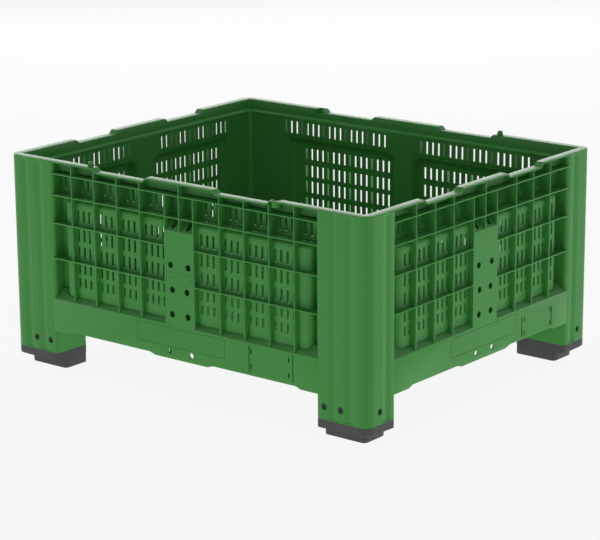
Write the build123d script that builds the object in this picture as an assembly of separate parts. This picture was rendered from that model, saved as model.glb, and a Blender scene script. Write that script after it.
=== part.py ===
from build123d import *
import os

# Ventilated pallet box of moulded plastic, standing on four capped legs. Millimetres, Z up.
# The origin is on the ground under the middle of the box. X runs along the long walls and the
# front wall faces -Y. A wall is drawn once with its outer plane at Y = 0 and Y growing inwards,
# and is then turned and moved to its side. A corner is drawn once, at the front right.

# Plan of the box
box_length = 1200.0
box_width = 1000.0
corner_long = 158.0
corner_short = 115.0
corner_radius = 30.0
edge_bevel = 10.0
column_bevel = 14.0

# Heights, stacked from the ground up
plug_height = 28.0
band_height = 22.0
leg_height = 68.5
skirt_height = 86.0
low_bay = 111.0
middle_bay = 96.5
high_bay = 76.5
vent_bay = 58.0
rim_bay = 33.5

# Wall section, with depths taken from the outer plane
skin = 4.0
rib = 5.0
panel_depth = 14.0
vent_depth = 34.0
shoulder_rise = 22.0
panel_end_run = 20.0
panel_end_gap = 25.0
ledge_rise = 30.0

# Rim
rim_width = 26.0
rim_thickness = 4.0
lip_height = 28.0
lip_slope_rise = 6.0
dip_depth = 10.0
dip_run = 11.0
long_dip_start = 111.0
short_dip_start = 99.0
long_dip_end_gap = 144.0
short_dip_end_gap = 119.0
inside_radius = 12.0
lip_radius = 4.0

# Stacking knob and pocket on each long rim
knob_end_gap = 126.0
knob_radius = 8.0
knob_height = 12.0
pocket_end_gap = 133.0
pocket_radius = 11.0
pocket_depth = 15.0
pocket_wall = 3.0
stack_line = 17.0

# Ribs and slots
rib_pitch = 80.0
slot_pitch = 20.0
slot_width = 7.0
rib_land = 8.0
low_land = 40.0
shoulder_land = 18.0

# Centre post
long_post_width = 100.0
short_post_width = 108.0
long_post_gap = 4.0
short_post_gap = 6.0
post_slope_rise = 34.0

# Skirt
tab_drop = 6.0
tab_run = 20.0
long_tab_width = 176.0
short_tab_width = 200.0
lip_run = 14.0
long_lip_width = 50.0
short_lip_width = 57.0
tab_hole_radius = 7.0
tab_hole_spread = 72.0
tab_hole_rise = 14.5

# Corner posts and legs
flute_width = 26.0
flute_depth = 4.0
flute_pitch = 51.0
flute_end_gap = 8.0
long_flute_inset = 56.0
short_flute_inset = 79.0

# Foot caps and their screws
cap_inset = 30.0
cap_clearance = 0.3
spigot_height = 52.0
spigot_wall = 12.0
screw_rise = 34.0
screw_pitch = 51.0
long_screw_inset = 82.0
short_screw_inset = 51.0
screw_radius = 7.0
screw_sink = 3.0
screw_clearance = 0.3

# Sides of the drawn section of small round holes and pins
round_sides = 12

# Floor
floor_thickness = 4.0
floor_rib_depth = 31.5
floor_rib_pitch = 300.0
floor_slot_length = 120.0
floor_slot_width = 8.0
floor_slot_pitch = 75.0
floor_slots_per_bay = 3

# Levels worked out from the stack
leg_end = plug_height + band_height
skirt_bottom = leg_end + leg_height
skirt_top = skirt_bottom + skirt_height
low_rib = skirt_top + low_bay
middle_rib = low_rib + middle_bay
vent_rib = middle_rib + high_bay
rim_rib = vent_rib + vent_bay
rim_top = rim_rib + rim_bay
rim_under = rim_top - rim_thickness
lip_bottom = rim_top - lip_height
vent_top = lip_bottom - lip_slope_rise
shoulder_top = vent_rib + rib
shoulder_bottom = shoulder_top - shoulder_rise
floor_bottom = skirt_bottom + floor_rib_depth
floor_top = floor_bottom + floor_thickness
screw_level = leg_end + screw_rise

# Depths and places worked out from the sizes above
lip_depth = rim_width - skin
wall_depth = vent_depth + skin
reach = wall_depth + skin
corner_shell = flute_depth + skin
long_half = box_length / 2 - corner_long
short_half = box_width / 2 - corner_short
corner_x = box_length / 2
corner_y = -box_width / 2
corner_back = corner_y + corner_short
corner_left = corner_x - corner_long


def sheet(points):
    """Closed flat outline through the points given."""
    return make_face(Polyline(*points, close=True))


def along(points, half_length):
    """Outline of depth and height, drawn out along the wall to both sides of its middle."""
    return extrude(Plane.YZ * sheet(points), amount=half_length, both=True)


def inwards(outline, start, end):
    """Outline of length and height, drawn inwards between two depths."""
    return extrude(Plane.XZ.offset(-start) * outline, amount=start - end)


def upwards(outline, bottom, top):
    """Plan outline, drawn upwards between two levels."""
    return extrude(Plane.XY.offset(bottom) * outline, amount=top - bottom)


def strip(left, right, bottom, top):
    """Rectangle between two places along each axis of its plane."""
    return Pos((left + right) / 2, (bottom + top) / 2) * Rectangle(right - left, top - bottom)


def nearest_corner(plan, x, y):
    """Corner of a plan outline that lies nearest to a place."""
    return plan.vertices().sort_by_distance((x, y, 0))[0]


def both_sides(shape):
    """Shape together with its mirror image across the middle of the wall."""
    return shape + mirror(shape, about=Plane.YZ)


def mirrored_points(right):
    """Points of an edge that is the same on both sides of the wall's middle, from left to right."""
    return [(-x, z) for x, z in reversed(right)] + right


def skin_block(half_length, shift):
    """Everything behind the upright skin between two corners, moved inwards by the shift."""
    lip = lip_depth + shift
    vent = vent_depth + shift
    back = reach + shift
    base = floor_bottom - shift
    top = rim_top + shift
    outer_line = [(lip, top), (lip, lip_bottom), (vent, vent_top), (vent, base)]
    return along(outer_line + [(back, base), (back, top)], half_length)


def panel_end(half_length):
    """Place along the wall where a panel's flat face ends and its end begins to slope inwards."""
    return half_length - panel_end_gap - panel_end_run


def panel_plan(start, half_length, shift):
    """Plan of the space behind one bulged panel, from its start to its sloped outer end."""
    face = panel_depth + shift
    back = reach + shift
    slope_end = panel_end(half_length) + panel_end_run
    front = [(start, face), (panel_end(half_length), face), (slope_end, vent_depth + shift)]
    return sheet(front + [(slope_end, back), (start, back)])


def panel_block(start, half_length, shift):
    """Everything behind one bulged panel, which slopes back at its top."""
    block = upwards(panel_plan(start, half_length, shift), floor_bottom - shift, shoulder_top)
    face = panel_depth + shift
    slope = [(face, shoulder_bottom), (vent_depth + shift, shoulder_top), (face, shoulder_top)]
    return block - along(slope, half_length)


def rim_edge(half_length, dip_start, dip_end, level):
    """Points of the rim's edge, with a shallow dip in each half."""
    low = level - dip_depth
    dip = [(dip_start, level), (dip_start + dip_run, low), (dip_end - dip_run, low), (dip_end, level)]
    return mirrored_points(dip + [(half_length, level)])


def rib_grid(half_length, post_half, rib_lines):
    """Crossing ribs of one wall, as an outline of length and height."""
    foot = skirt_top - skin / 2
    head = rim_top - rim_thickness / 2
    uprights = [strip(x - rib / 2, x + rib / 2, foot, head) for x in rib_lines]
    uprights.append(strip(post_half - rib, post_half, foot, rim_rib))
    grid = both_sides(Sketch() + uprights)
    grid += strip(-rib / 2, rib / 2, vent_rib, head)
    for level in (low_rib, middle_rib, vent_rib, rim_rib):
        grid += strip(-half_length, half_length, level - rib / 2, level + rib / 2)
    return grid


def slot_row(first_rib, bays, bottom, top):
    """One row of upright slots, a pair in the middle of each bay of both halves of a wall."""
    pair = Sketch() + GridLocations(slot_pitch, 1, 2, 1) * Rectangle(slot_width, top - bottom)
    middle = Pos(first_rib + rib_pitch * (bays - 2) / 2, (bottom + top) / 2)
    return both_sides(Sketch() + [middle * place * pair for place in GridLocations(rib_pitch, 1, bays, 1)])


def skirt_outline(half_length, tab_half, lip_start):
    """Skirt below the ledge, with a lower tab in its middle and a lower lip beside each leg."""
    low = skirt_bottom - tab_drop
    right = [(tab_half, low), (tab_half + tab_run, skirt_bottom)]
    right += [(lip_start - lip_run, skirt_bottom), (lip_start, low), (half_length, low)]
    return sheet([(-half_length, skirt_top)] + mirrored_points(right) + [(half_length, skirt_top)])


def make_wall(half, post_half, post_gap, dip_start, dip_end_gap, tab_half, lip_width):
    """One wall between two corners: skin, ribs, slots, centre post, skirt and rim."""
    first_rib = post_half + post_gap + rib_pitch
    rib_count = int((panel_end(half) - first_rib) / rib_pitch) + 1
    rib_lines = [first_rib + rib_pitch * step for step in range(rib_count)]
    run_out = half + edge_bevel

    body = skin_block(half, 0) + both_sides(panel_block(post_half - rib, half, 0))
    body += inwards(rib_grid(run_out, post_half, rib_lines), 0, vent_depth)
    face_top = vent_rib - post_slope_rise
    post = [(0, skirt_bottom), (0, face_top), (vent_depth, vent_rib)]
    post += [(vent_depth, vent_rib - rib), (skin, face_top - skin), (skin, skirt_bottom)]
    body += along(post, post_half)
    ledge = [(0, skirt_top), (vent_depth, skirt_top + ledge_rise)]
    body += along(ledge + [(y, z - skin) for y, z in reversed(ledge)], run_out)
    body += inwards(skirt_outline(run_out, tab_half, half - lip_width), 0, skin)

    body -= skin_block(run_out, skin) + both_sides(panel_block(post_half, half, skin))
    corner_plan = strip(half, half + reach, 0, reach)
    corner_plan = chamfer(nearest_corner(corner_plan, half, 0), edge_bevel)
    body -= both_sides(upwards(corner_plan, skirt_bottom - tab_drop, rim_top))

    upper_edge = rim_edge(half, dip_start, half - dip_end_gap, rim_top)
    under_edge = rim_edge(half, dip_start, half - dip_end_gap, rim_under)
    over = rim_top + dip_depth
    body -= inwards(sheet(upper_edge + [(half, over), (-half, over)]), 0, rim_width)
    body += inwards(sheet(upper_edge + under_edge[::-1]), 0, rim_width)

    edge = rib / 2 + rib_land
    slots = slot_row(first_rib, rib_count, skirt_top + low_land, low_rib - edge)
    slots += slot_row(first_rib, rib_count, low_rib + edge, middle_rib - edge)
    slots += slot_row(first_rib, rib_count, middle_rib + edge, shoulder_bottom - shoulder_land)
    slots += slot_row(first_rib, rib_count, vent_rib + edge, rim_rib - edge)
    body -= inwards(slots, 0, reach)

    holes = Sketch() + GridLocations(tab_hole_spread, 1, 2, 1) * RegularPolygon(tab_hole_radius, round_sides)
    return body - inwards(Pos(0, skirt_bottom + tab_hole_rise) * holes, 0, skin)


def add_stacking(wall, half):
    """Long wall with a stacking knob near one end of its rim and a pocket near the other."""
    knob = extrude(RegularPolygon(knob_radius, round_sides), amount=knob_height)
    wall += Pos(knob_end_gap - half, stack_line, rim_top) * knob
    pocket_place = Pos(half - pocket_end_gap, stack_line, rim_top)
    cup_half = pocket_radius + pocket_wall
    cup = strip(-cup_half, cup_half, -cup_half, lip_depth - stack_line)
    wall += pocket_place * extrude(cup, amount=-pocket_depth - pocket_wall)
    opening = RegularPolygon(pocket_radius, round_sides)
    opening += strip(-pocket_radius, pocket_radius, 0, rim_width - stack_line)
    return wall - pocket_place * extrude(opening, amount=-pocket_depth)


def bevelled(plan):
    """Corner column's plan with every edge bevelled but the one at the box's corner."""
    for x, y in ((corner_left, corner_y), (corner_x, corner_back), (corner_left, corner_back)):
        plan = chamfer(nearest_corner(plan, x, y), edge_bevel)
    return plan


def column_plan():
    """Outer plan of a corner column, rounded at the box's corner."""
    plan = strip(corner_left, corner_x, corner_y, corner_back)
    return bevelled(fillet(nearest_corner(plan, corner_x, corner_y), corner_radius))


def hollow_plan(clearance):
    """Plan of the space inside a corner column, less a clearance all round."""
    outer = corner_shell + clearance
    inner = skin + clearance
    plan = strip(corner_left + inner, corner_x - outer, corner_y + outer, corner_back - inner)
    return bevelled(chamfer(nearest_corner(plan, corner_x, corner_y), column_bevel))


def inside_plan(depth, radius):
    """Plan of the box's inside near the corner, from a depth behind the outer faces."""
    plan = strip(corner_left - reach, corner_x - depth, corner_y + depth, corner_back + reach)
    return fillet(nearest_corner(plan, corner_x, corner_y), radius)


def long_face_places(inset, pitch):
    """Two places along the long face of a corner, from an inset at the box's end."""
    return (corner_x - inset, corner_x - inset - pitch)


def flutes():
    """Shallow upright grooves down the faces of a corner, two on the long face, one on the short."""
    half = flute_width / 2
    deep_y = corner_y + flute_depth
    plan = Sketch()
    for x in long_face_places(long_flute_inset, flute_pitch):
        plan += sheet([(x - half, corner_y), (x + half, corner_y), (x, deep_y)])
    y = corner_y + short_flute_inset
    plan += sheet([(corner_x, y - half), (corner_x, y + half), (corner_x - flute_depth, y)])
    return upwards(plan, leg_end + flute_end_gap, rim_under - flute_end_gap)


def screw_pins(radius, sink):
    """Pins at the three screw places of a corner, from a sink behind its faces to the cap's spigot."""
    end = corner_shell + cap_clearance
    section = Pos(0, screw_level) * RegularPolygon(radius, round_sides)
    pin = inwards(section, sink, end)
    pins = [Pos(x, corner_y) * pin for x in long_face_places(long_screw_inset, screw_pitch)]
    return pins + [Pos(corner_x, corner_y + short_screw_inset) * Rot(0, 0, 90) * pin]


def make_post():
    """Corner column: a hollow leg with screw holes, and above the floor an angle that carries the rim."""
    rim_plan = strip(corner_left, corner_x, corner_y, corner_back)
    rim_plan = fillet(nearest_corner(rim_plan, corner_x, corner_y), corner_radius)
    body = upwards(column_plan(), leg_end, rim_under) + upwards(rim_plan, rim_under, rim_top)
    low_plan = inside_plan(wall_depth, inside_radius)
    high_plan = inside_plan(rim_width, lip_radius)
    body -= upwards(low_plan, floor_bottom, vent_top)
    body -= loft([Pos(0, 0, vent_top) * low_plan, Pos(0, 0, lip_bottom) * high_plan])
    body -= upwards(high_plan, lip_bottom, rim_top)
    inner_skin = strip(corner_left, corner_x - vent_depth, corner_y + vent_depth, corner_back)
    body -= upwards(hollow_plan(0), leg_end, floor_bottom)
    body -= upwards(hollow_plan(0) - inner_skin, floor_bottom, vent_top - skin)
    return body - flutes() - screw_pins(screw_radius + screw_clearance, 0)


def make_cap():
    """Foot cap: a band under the leg, a narrower plug below it and a hollow spigot inside the leg."""
    plug = strip(corner_left, corner_x - cap_inset, corner_y + cap_inset, corner_back)
    plug = chamfer(nearest_corner(plug, corner_left, corner_back), edge_bevel)
    spigot_top = leg_end + spigot_height
    body = upwards(plug, 0, plug_height) + upwards(column_plan(), plug_height, leg_end)
    body += upwards(hollow_plan(cap_clearance), leg_end, spigot_top)
    return body - upwards(hollow_plan(cap_clearance + spigot_wall), plug_height, spigot_top)


def make_floor():
    """Floor plate that fills the plan inside the walls, with drain slots and ribs beneath."""
    half_x = corner_x - wall_depth
    half_y = -corner_y - wall_depth
    plan = strip(-half_x, half_x, -half_y, half_y)
    for x, y in ((half_x, half_y), (-half_x, half_y), (half_x, -half_y), (-half_x, -half_y)):
        plan = fillet(nearest_corner(plan, x, y), inside_radius)
    long_side = Pos(0, corner_y) * both_sides(panel_plan(long_post_width / 2, long_half, skin))
    short_side = Pos(0, -corner_x) * both_sides(panel_plan(short_post_width / 2, short_half, skin))
    plan += [long_side, Rot(0, 0, 180) * long_side, Rot(0, 0, 90) * short_side, Rot(0, 0, -90) * short_side]
    count_x = int((long_half - rib) / floor_rib_pitch)
    count_y = int((short_half - rib) / floor_rib_pitch)
    bay_slots = Sketch() + GridLocations(1, floor_slot_pitch, 1, floor_slots_per_bay) * Rectangle(
        floor_slot_length, floor_slot_width)
    bays = GridLocations(floor_rib_pitch, floor_rib_pitch, 2 * count_x, 2 * count_y)
    plan -= [place * bay_slots for place in bays]
    ribs = GridLocations(floor_rib_pitch, 1, 2 * count_x + 1, 1) * Rectangle(rib, box_width - 2 * skin)
    ribs += GridLocations(1, floor_rib_pitch, 1, 2 * count_y + 1) * Rectangle(box_length - 2 * skin, rib)
    return upwards(plan, floor_bottom, floor_top) + upwards(Sketch() + ribs, skirt_bottom, floor_bottom)


def four_corners(name, shape):
    """The same piece at every corner of the box, under names that say where it is."""
    left = mirror(shape, about=Plane.YZ)
    turn = Rot(0, 0, 180)
    return {name + "_front_right": shape, name + "_front_left": left,
            name + "_back_left": turn * shape, name + "_back_right": turn * left}


long_wall = make_wall(long_half, long_post_width / 2, long_post_gap, long_dip_start, long_dip_end_gap,
                      long_tab_width / 2, long_lip_width)
long_wall = Pos(0, corner_y) * add_stacking(long_wall, long_half)
short_wall = make_wall(short_half, short_post_width / 2, short_post_gap, short_dip_start, short_dip_end_gap,
                       short_tab_width / 2, short_lip_width)
short_wall = Pos(0, -corner_x) * short_wall

nodes = {"front_wall": long_wall, "back_wall": Rot(0, 0, 180) * long_wall,
         "right_wall": Rot(0, 0, 90) * short_wall, "left_wall": Rot(0, 0, -90) * short_wall,
         "floor_deck": make_floor()}
nodes |= four_corners("corner_post", make_post())
nodes |= four_corners("foot_cap", make_cap())
for number, pin in enumerate(screw_pins(screw_radius, screw_sink), start=1):
    nodes |= four_corners(f"foot_screw_{number}", pin)

os.makedirs("parts", exist_ok=True)
for name, shape in nodes.items():
    export_step(shape, os.path.join("parts", name + ".step"))
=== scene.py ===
import logging
import math
from dataclasses import dataclass
from enum import Enum
from typing import Callable, Sequence

import bmesh
import bpy
from mathutils import Matrix, Vector


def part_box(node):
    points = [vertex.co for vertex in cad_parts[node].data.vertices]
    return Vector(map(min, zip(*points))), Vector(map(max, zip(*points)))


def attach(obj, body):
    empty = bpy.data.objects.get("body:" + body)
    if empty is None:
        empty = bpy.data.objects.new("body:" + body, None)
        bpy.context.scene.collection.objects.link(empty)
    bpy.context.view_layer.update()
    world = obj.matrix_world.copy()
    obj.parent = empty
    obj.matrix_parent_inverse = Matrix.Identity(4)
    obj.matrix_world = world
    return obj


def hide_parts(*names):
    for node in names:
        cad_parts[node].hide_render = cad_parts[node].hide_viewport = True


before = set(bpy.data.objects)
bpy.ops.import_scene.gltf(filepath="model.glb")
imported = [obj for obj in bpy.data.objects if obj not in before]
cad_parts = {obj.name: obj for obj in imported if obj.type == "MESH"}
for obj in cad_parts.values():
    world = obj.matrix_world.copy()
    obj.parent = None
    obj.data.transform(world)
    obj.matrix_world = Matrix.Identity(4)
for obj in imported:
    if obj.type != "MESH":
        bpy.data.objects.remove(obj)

log = logging.getLogger("pallet_box")

Piece = bpy.types.Object
Tree = bpy.types.NodeTree
Socket = bpy.types.NodeSocket
PlaceTest = Callable[[Vector], bool]
EdgeTest = Callable[[bmesh.types.BMEdge], bool]
Point = tuple[float, float]
Triple = tuple[float, float, float]
Rectangle = tuple[float, float, float, float]

BODY = "root"
# What keeps two faces apart, and what still counts as the same place, in metres
HAIR = 0.0002
TINY = 1e-5
# Depth of the upright ribs' front edges, and the depth up to which a vertex belongs to a rib's front edge
RIB_FRONT = 3 * HAIR
FRONT_EDGE = 4 * HAIR
# Angle between two faces past which their edge is softened
SHARP_EDGE = math.radians(50)
HALF_TURN = Matrix.Rotation(math.pi, 4, "Z")


class Closing(Enum):
    """How a traced outline ends."""

    OPEN = "open line"
    FACE = "filled face"


class Corner(Enum):
    """The four corners of the box, as signs along X and Y."""

    FRONT_RIGHT = (1, -1)
    FRONT_LEFT = (-1, -1)
    BACK_LEFT = (-1, 1)
    BACK_RIGHT = (1, 1)

    def node(self, kind: str) -> str:
        """Name of the node or the piece of a kind at this corner."""
        return f"{kind}_{self.name.lower()}"

    def matrix(self) -> Matrix:
        """Reflection that carries the front right corner to this one."""
        along, across = self.value
        return Matrix.Diagonal((along, -across, 1.0, 1.0))


# Modelling steps


def clear_selection() -> None:
    """Leave edit mode and deselect every object."""
    if bpy.context.object and bpy.context.object.mode != "OBJECT":
        bpy.ops.object.mode_set(mode="OBJECT")
    bpy.ops.object.select_all(action="DESELECT")


def take(piece: Piece) -> None:
    """Make a piece the only selected object and the active one.

    Args:
        piece: Piece to work on.
    """
    clear_selection()
    piece.select_set(True)
    bpy.context.view_layer.objects.active = piece


def begin_edit(piece: Piece) -> None:
    """Enter edit mode on a piece with all of its mesh selected.

    Args:
        piece: Piece to shape.
    """
    take(piece)
    bpy.ops.object.mode_set(mode="EDIT")
    bpy.ops.mesh.select_mode(type="VERT")
    bpy.ops.mesh.select_all(action="SELECT")


def end_edit() -> None:
    """Go back to object mode."""
    bpy.ops.object.mode_set(mode="OBJECT")


def name_new(name: str) -> Piece:
    """Name the primitive that was just added and put its place into its mesh.

    Args:
        name: Name of the piece and of its mesh.

    Returns:
        The piece, at the origin, unturned and unscaled.
    """
    piece = bpy.context.object
    piece.name = piece.data.name = name
    bpy.ops.object.transform_apply(location=True, rotation=True, scale=True)
    return piece


def block(name: str, low: Sequence[float], high: Sequence[float]) -> Piece:
    """Add a cube between two corners.

    Args:
        name: Name of the piece.
        low: Lowest corner.
        high: Highest corner.

    Returns:
        The cube, ready to be shaped.
    """
    clear_selection()
    low, high = Vector(low), Vector(high)
    bpy.ops.mesh.primitive_cube_add(size=1.0, location=(low + high) / 2, scale=high - low)
    return name_new(name)


def cylinder(name: str, sides: int, radius: float, depth: float, place: Triple,
             upright: bool = False) -> Piece:
    """Add a cylinder along Y or along Z.

    Args:
        name: Name of the piece.
        sides: Number of its sides.
        radius: Its radius.
        depth: Its whole length.
        place: Its middle.
        upright: Whether it stands along Z.

    Returns:
        The cylinder, ready to be shaped.
    """
    clear_selection()
    turn = (0.0 if upright else math.pi / 2, 0.0, 0.0)
    bpy.ops.mesh.primitive_cylinder_add(vertices=sides, radius=radius, depth=depth, location=place,
                                        rotation=turn)
    return name_new(name)


def trace(name: str, places: Sequence[Sequence[float]], closing: Closing) -> Piece:
    """Trace a line from one vertex, extruding it from place to place, and stay in edit mode.

    Args:
        name: Name of the piece.
        places: Places that the line goes through.
        closing: Whether the line stays open or is filled.

    Returns:
        The piece, with its whole line selected.
    """
    clear_selection()
    bpy.ops.mesh.primitive_plane_add(size=TINY, location=places[0])
    piece = name_new(name)
    begin_edit(piece)
    bpy.ops.mesh.merge(type="CENTER")
    for start, end in zip(places, places[1:]):
        step = Vector(end) - Vector(start)
        bpy.ops.mesh.extrude_vertices_move(TRANSFORM_OT_translate={"value": step})
    bpy.ops.mesh.select_all(action="SELECT")
    if closing is Closing.FACE:
        bpy.ops.mesh.edge_face_add()
    return piece


def pull(step: Sequence[float]) -> None:
    """Extrude what is selected by a step."""
    bpy.ops.mesh.extrude_region_move(TRANSFORM_OT_translate={"value": Vector(step)})


def prism(name: str, places: Sequence[Sequence[float]], step: Sequence[float]) -> Piece:
    """Fill a traced outline and extrude it into a closed solid.

    Args:
        name: Name of the piece.
        places: Corners of the outline.
        step: How far and which way the outline is extruded.

    Returns:
        The solid, with its faces pointing outwards.
    """
    piece = trace(name, places, Closing.FACE)
    pull(step)
    face_outwards()
    return piece


def face_outwards() -> None:
    """Turn the faces of the piece in edit mode outwards and leave edit mode."""
    bpy.ops.mesh.select_all(action="SELECT")
    bpy.ops.mesh.normals_make_consistent(inside=False)
    end_edit()


def pick(piece: Piece, test: PlaceTest) -> None:
    """Select the vertices in edit mode whose places pass a test.

    Args:
        piece: Piece in edit mode.
        test: What a place has to pass.
    """
    bpy.ops.mesh.select_mode(type="VERT")
    bpy.ops.mesh.select_all(action="DESELECT")
    mesh = bmesh.from_edit_mesh(piece.data)
    for vertex in mesh.verts:
        vertex.select_set(test(vertex.co))
    mesh.select_flush(True)
    bmesh.update_edit_mesh(piece.data)


def bevel(piece: Piece, radius: float, steps: int, test: EdgeTest) -> None:
    """Bevel the edges that pass a test.

    Args:
        piece: Piece to shape.
        radius: Width of the bevel.
        steps: Number of its segments.
        test: What an edge has to pass.
    """
    begin_edit(piece)
    bpy.ops.mesh.select_mode(type="EDGE")
    bpy.ops.mesh.select_all(action="DESELECT")
    mesh = bmesh.from_edit_mesh(piece.data)
    for edge in mesh.edges:
        edge.select_set(test(edge))
    bmesh.update_edit_mesh(piece.data)
    bpy.ops.mesh.bevel(offset=radius, segments=steps, affect="EDGES")
    end_edit()


def round_edges(piece: Piece, radius: float, steps: int, test: PlaceTest) -> None:
    """Bevel the edges whose two ends pass a test of their places."""
    bevel(piece, radius, steps, lambda edge: all(test(vertex.co) for vertex in edge.verts))


def round_along(piece: Piece, axis: int, radius: float, steps: int) -> None:
    """Bevel every edge that runs along one axis, with X as 0."""
    bevel(piece, radius, steps, lambda edge: runs_along(edge, axis))


def runs_along(edge: bmesh.types.BMEdge, axis: int) -> bool:
    """Whether an edge runs along one axis."""
    run = edge.verts[0].co - edge.verts[1].co
    return abs(run[axis]) > run.length - TINY


def modify(piece: Piece, kind: str, **settings: object) -> None:
    """Add a modifier to a piece, set it and apply it.

    Args:
        piece: Piece to finish.
        kind: Blender's name of the modifier.
        settings: Values of the modifier's own settings.
    """
    take(piece)
    modifier = piece.modifiers.new(kind.title(), kind)
    for key, value in settings.items():
        setattr(modifier, key, value)
    bpy.ops.object.modifier_apply(modifier=modifier.name)


def soften(piece: Piece, radius: float, steps: int = 2) -> None:
    """Round every sharp edge of a piece a little."""
    modify(piece, "BEVEL", width=radius, segments=steps, limit_method="ANGLE", angle_limit=SHARP_EDGE)


def repeat(piece: Piece, count: int, step: Sequence[float]) -> None:
    """Repeat a piece's mesh in a row."""
    modify(piece, "ARRAY", count=count, use_relative_offset=False, use_constant_offset=True,
           constant_offset_displace=step)


def mirror_halves(piece: Piece, across_too: bool = False) -> None:
    """Add a piece's mirror image across X = 0, and across Y = 0 too where asked."""
    modify(piece, "MIRROR", use_axis=(True, across_too, False), merge_threshold=TINY)


def thin_front(piece: Piece, share: Triple, middle: Triple) -> None:
    """Scale a rib's front edge about a middle, as the mould's draft leaves it.

    Args:
        piece: Rib to thin.
        share: Scale along each axis.
        middle: Place that stays where it is.
    """
    begin_edit(piece)
    pick(piece, lambda spot: spot.y < FRONT_EDGE)
    bpy.ops.transform.resize(value=share, center_override=middle)
    end_edit()


def join(name: str, pieces: Sequence[Piece]) -> Piece:
    """Join several pieces into one mesh.

    Args:
        name: Name of the joined piece.
        pieces: What is joined.

    Returns:
        The joined piece.
    """
    joined, *others = pieces
    take(joined)
    for piece in others:
        piece.select_set(True)
    if others:
        bpy.ops.object.join()
    joined.name = joined.data.name = name
    return joined


def cut(piece: Piece, cutters: Sequence[Piece]) -> None:
    """Cut solids out of a piece and throw the cutters away.

    Args:
        piece: Piece to cut.
        cutters: What is cut out, joined first.
    """
    cutter = join("cutter", cutters)
    modify(piece, "BOOLEAN", operation="DIFFERENCE", solver="EXACT", object=cutter)
    bpy.data.objects.remove(cutter)


def arc(centre: Point, radius: float, start: float, end: float, steps: int) -> list[Point]:
    """Places along a circular arc from one angle to another, in degrees, as the ends of equal chords."""
    angles = [math.radians(start + (end - start) * step / steps) for step in range(steps + 1)]
    return [(centre[0] + radius * math.cos(a), centre[1] + radius * math.sin(a)) for a in angles]


def mirrored(right: Sequence[Point]) -> list[Point]:
    """Line that is the same on both sides of a wall's middle, from left to right."""
    return [(-x, y) for x, y in reversed(right)] + list(right)


def carry(piece: Piece, matrix: Matrix) -> None:
    """Move a piece's mesh by a matrix, and keep its faces outwards if that reflects it.

    Args:
        piece: Piece to move.
        matrix: Where its mesh goes.
    """
    piece.data.transform(matrix)
    if matrix.determinant() < 0:
        piece.data.flip_normals()


def copy_of(piece: Piece, name: str, matrix: Matrix) -> Piece:
    """Copy a piece with its own mesh, moved by a matrix.

    Args:
        piece: Piece to copy.
        name: Name of the copy.
        matrix: Where the copy goes.

    Returns:
        The copy.
    """
    twin = piece.copy()
    twin.data = piece.data.copy()
    twin.name = twin.data.name = name
    bpy.context.scene.collection.objects.link(twin)
    carry(twin, matrix)
    return twin


# Surface effects and finishes


def give(tree: Tree, socket: Socket, source: object) -> None:
    """Link an input to another socket, or set its value.

    Args:
        tree: Node tree that it is in.
        socket: Input to fill.
        source: Socket that it follows, or a plain value.
    """
    if isinstance(source, Socket):
        tree.links.new(source, socket)
    else:
        socket.default_value = source


def feed(tree: Tree, node: bpy.types.Node, **inputs: object) -> bpy.types.Node:
    """Give a node's inputs their values and links.

    Args:
        tree: Node tree that the node is in.
        node: The node.
        inputs: A value or a socket for each input, with underscores for the spaces in its name.

    Returns:
        The node.
    """
    for label, source in inputs.items():
        give(tree, node.inputs[label.replace("_", " ")], source)
    return node


def add_node(tree: Tree, kind: str, **inputs: object) -> bpy.types.Node:
    """Add a shader node of a kind and give its inputs their values and links."""
    return feed(tree, tree.nodes.new(f"ShaderNode{kind}"), **inputs)


def new_group(name: str, inputs: dict[str, float], output: str) -> Tree:
    """Start a shader node group with named value sockets.

    Args:
        name: Name of the group.
        inputs: Names and usual values of its inputs.
        output: Name of its output.

    Returns:
        The group, with its input and output nodes placed.
    """
    group = bpy.data.node_groups.new(name, "ShaderNodeTree")
    for label, value in inputs.items():
        group.interface.new_socket(label, in_out="INPUT", socket_type="NodeSocketFloat").default_value = value
    group.interface.new_socket(output, in_out="OUTPUT", socket_type="NodeSocketFloat")
    group.nodes.new("NodeGroupInput").name = "In"
    group.nodes.new("NodeGroupOutput").name = "Out"
    return group


def noise_in(group: Tree, detail: float) -> Socket:
    """Place a noise texture on Object coordinates, scaled by the group's Scale input.

    Args:
        group: Group to build in.
        detail: Octaves of the noise.

    Returns:
        The socket with the noise.
    """
    places = add_node(group, "TexCoord").outputs["Object"]
    scale = group.nodes["In"].outputs["Scale"]
    return add_node(group, "TexNoise", Vector=places, Scale=scale, Detail=detail).outputs["Fac"]


def noise_group(name: str, scale: float, detail: float, output: str) -> Tree:
    """Build a group that puts out a noise as it is.

    Args:
        name: Name of the group.
        scale: Usual scale of the noise.
        detail: Octaves of the noise.
        output: Name of its output.

    Returns:
        A group with a Scale input and an output around one half.
    """
    group = new_group(name, {"Scale": scale}, output)
    feed(group, group.nodes["Out"], **{output: noise_in(group, detail)})
    return group


def scuff_group(start: float = 0.62, full: float = 0.78) -> Tree:
    """Build sparse pale scuffs from handling.

    Args:
        start: Level of the noise where a scuff begins.
        full: Level where it is whole.

    Returns:
        A group with Scale and Cover inputs and a Mask output.
    """
    group = new_group("Handling scuffs", {"Scale": 40.0, "Cover": 0.35}, "Mask")
    ramp = add_node(group, "MapRange", Value=noise_in(group, detail=6.0), From_Min=start, From_Max=full,
                    To_Max=group.nodes["In"].outputs["Cover"])
    feed(group, group.nodes["Out"], Mask=ramp.outputs["Result"])
    return group


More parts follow.
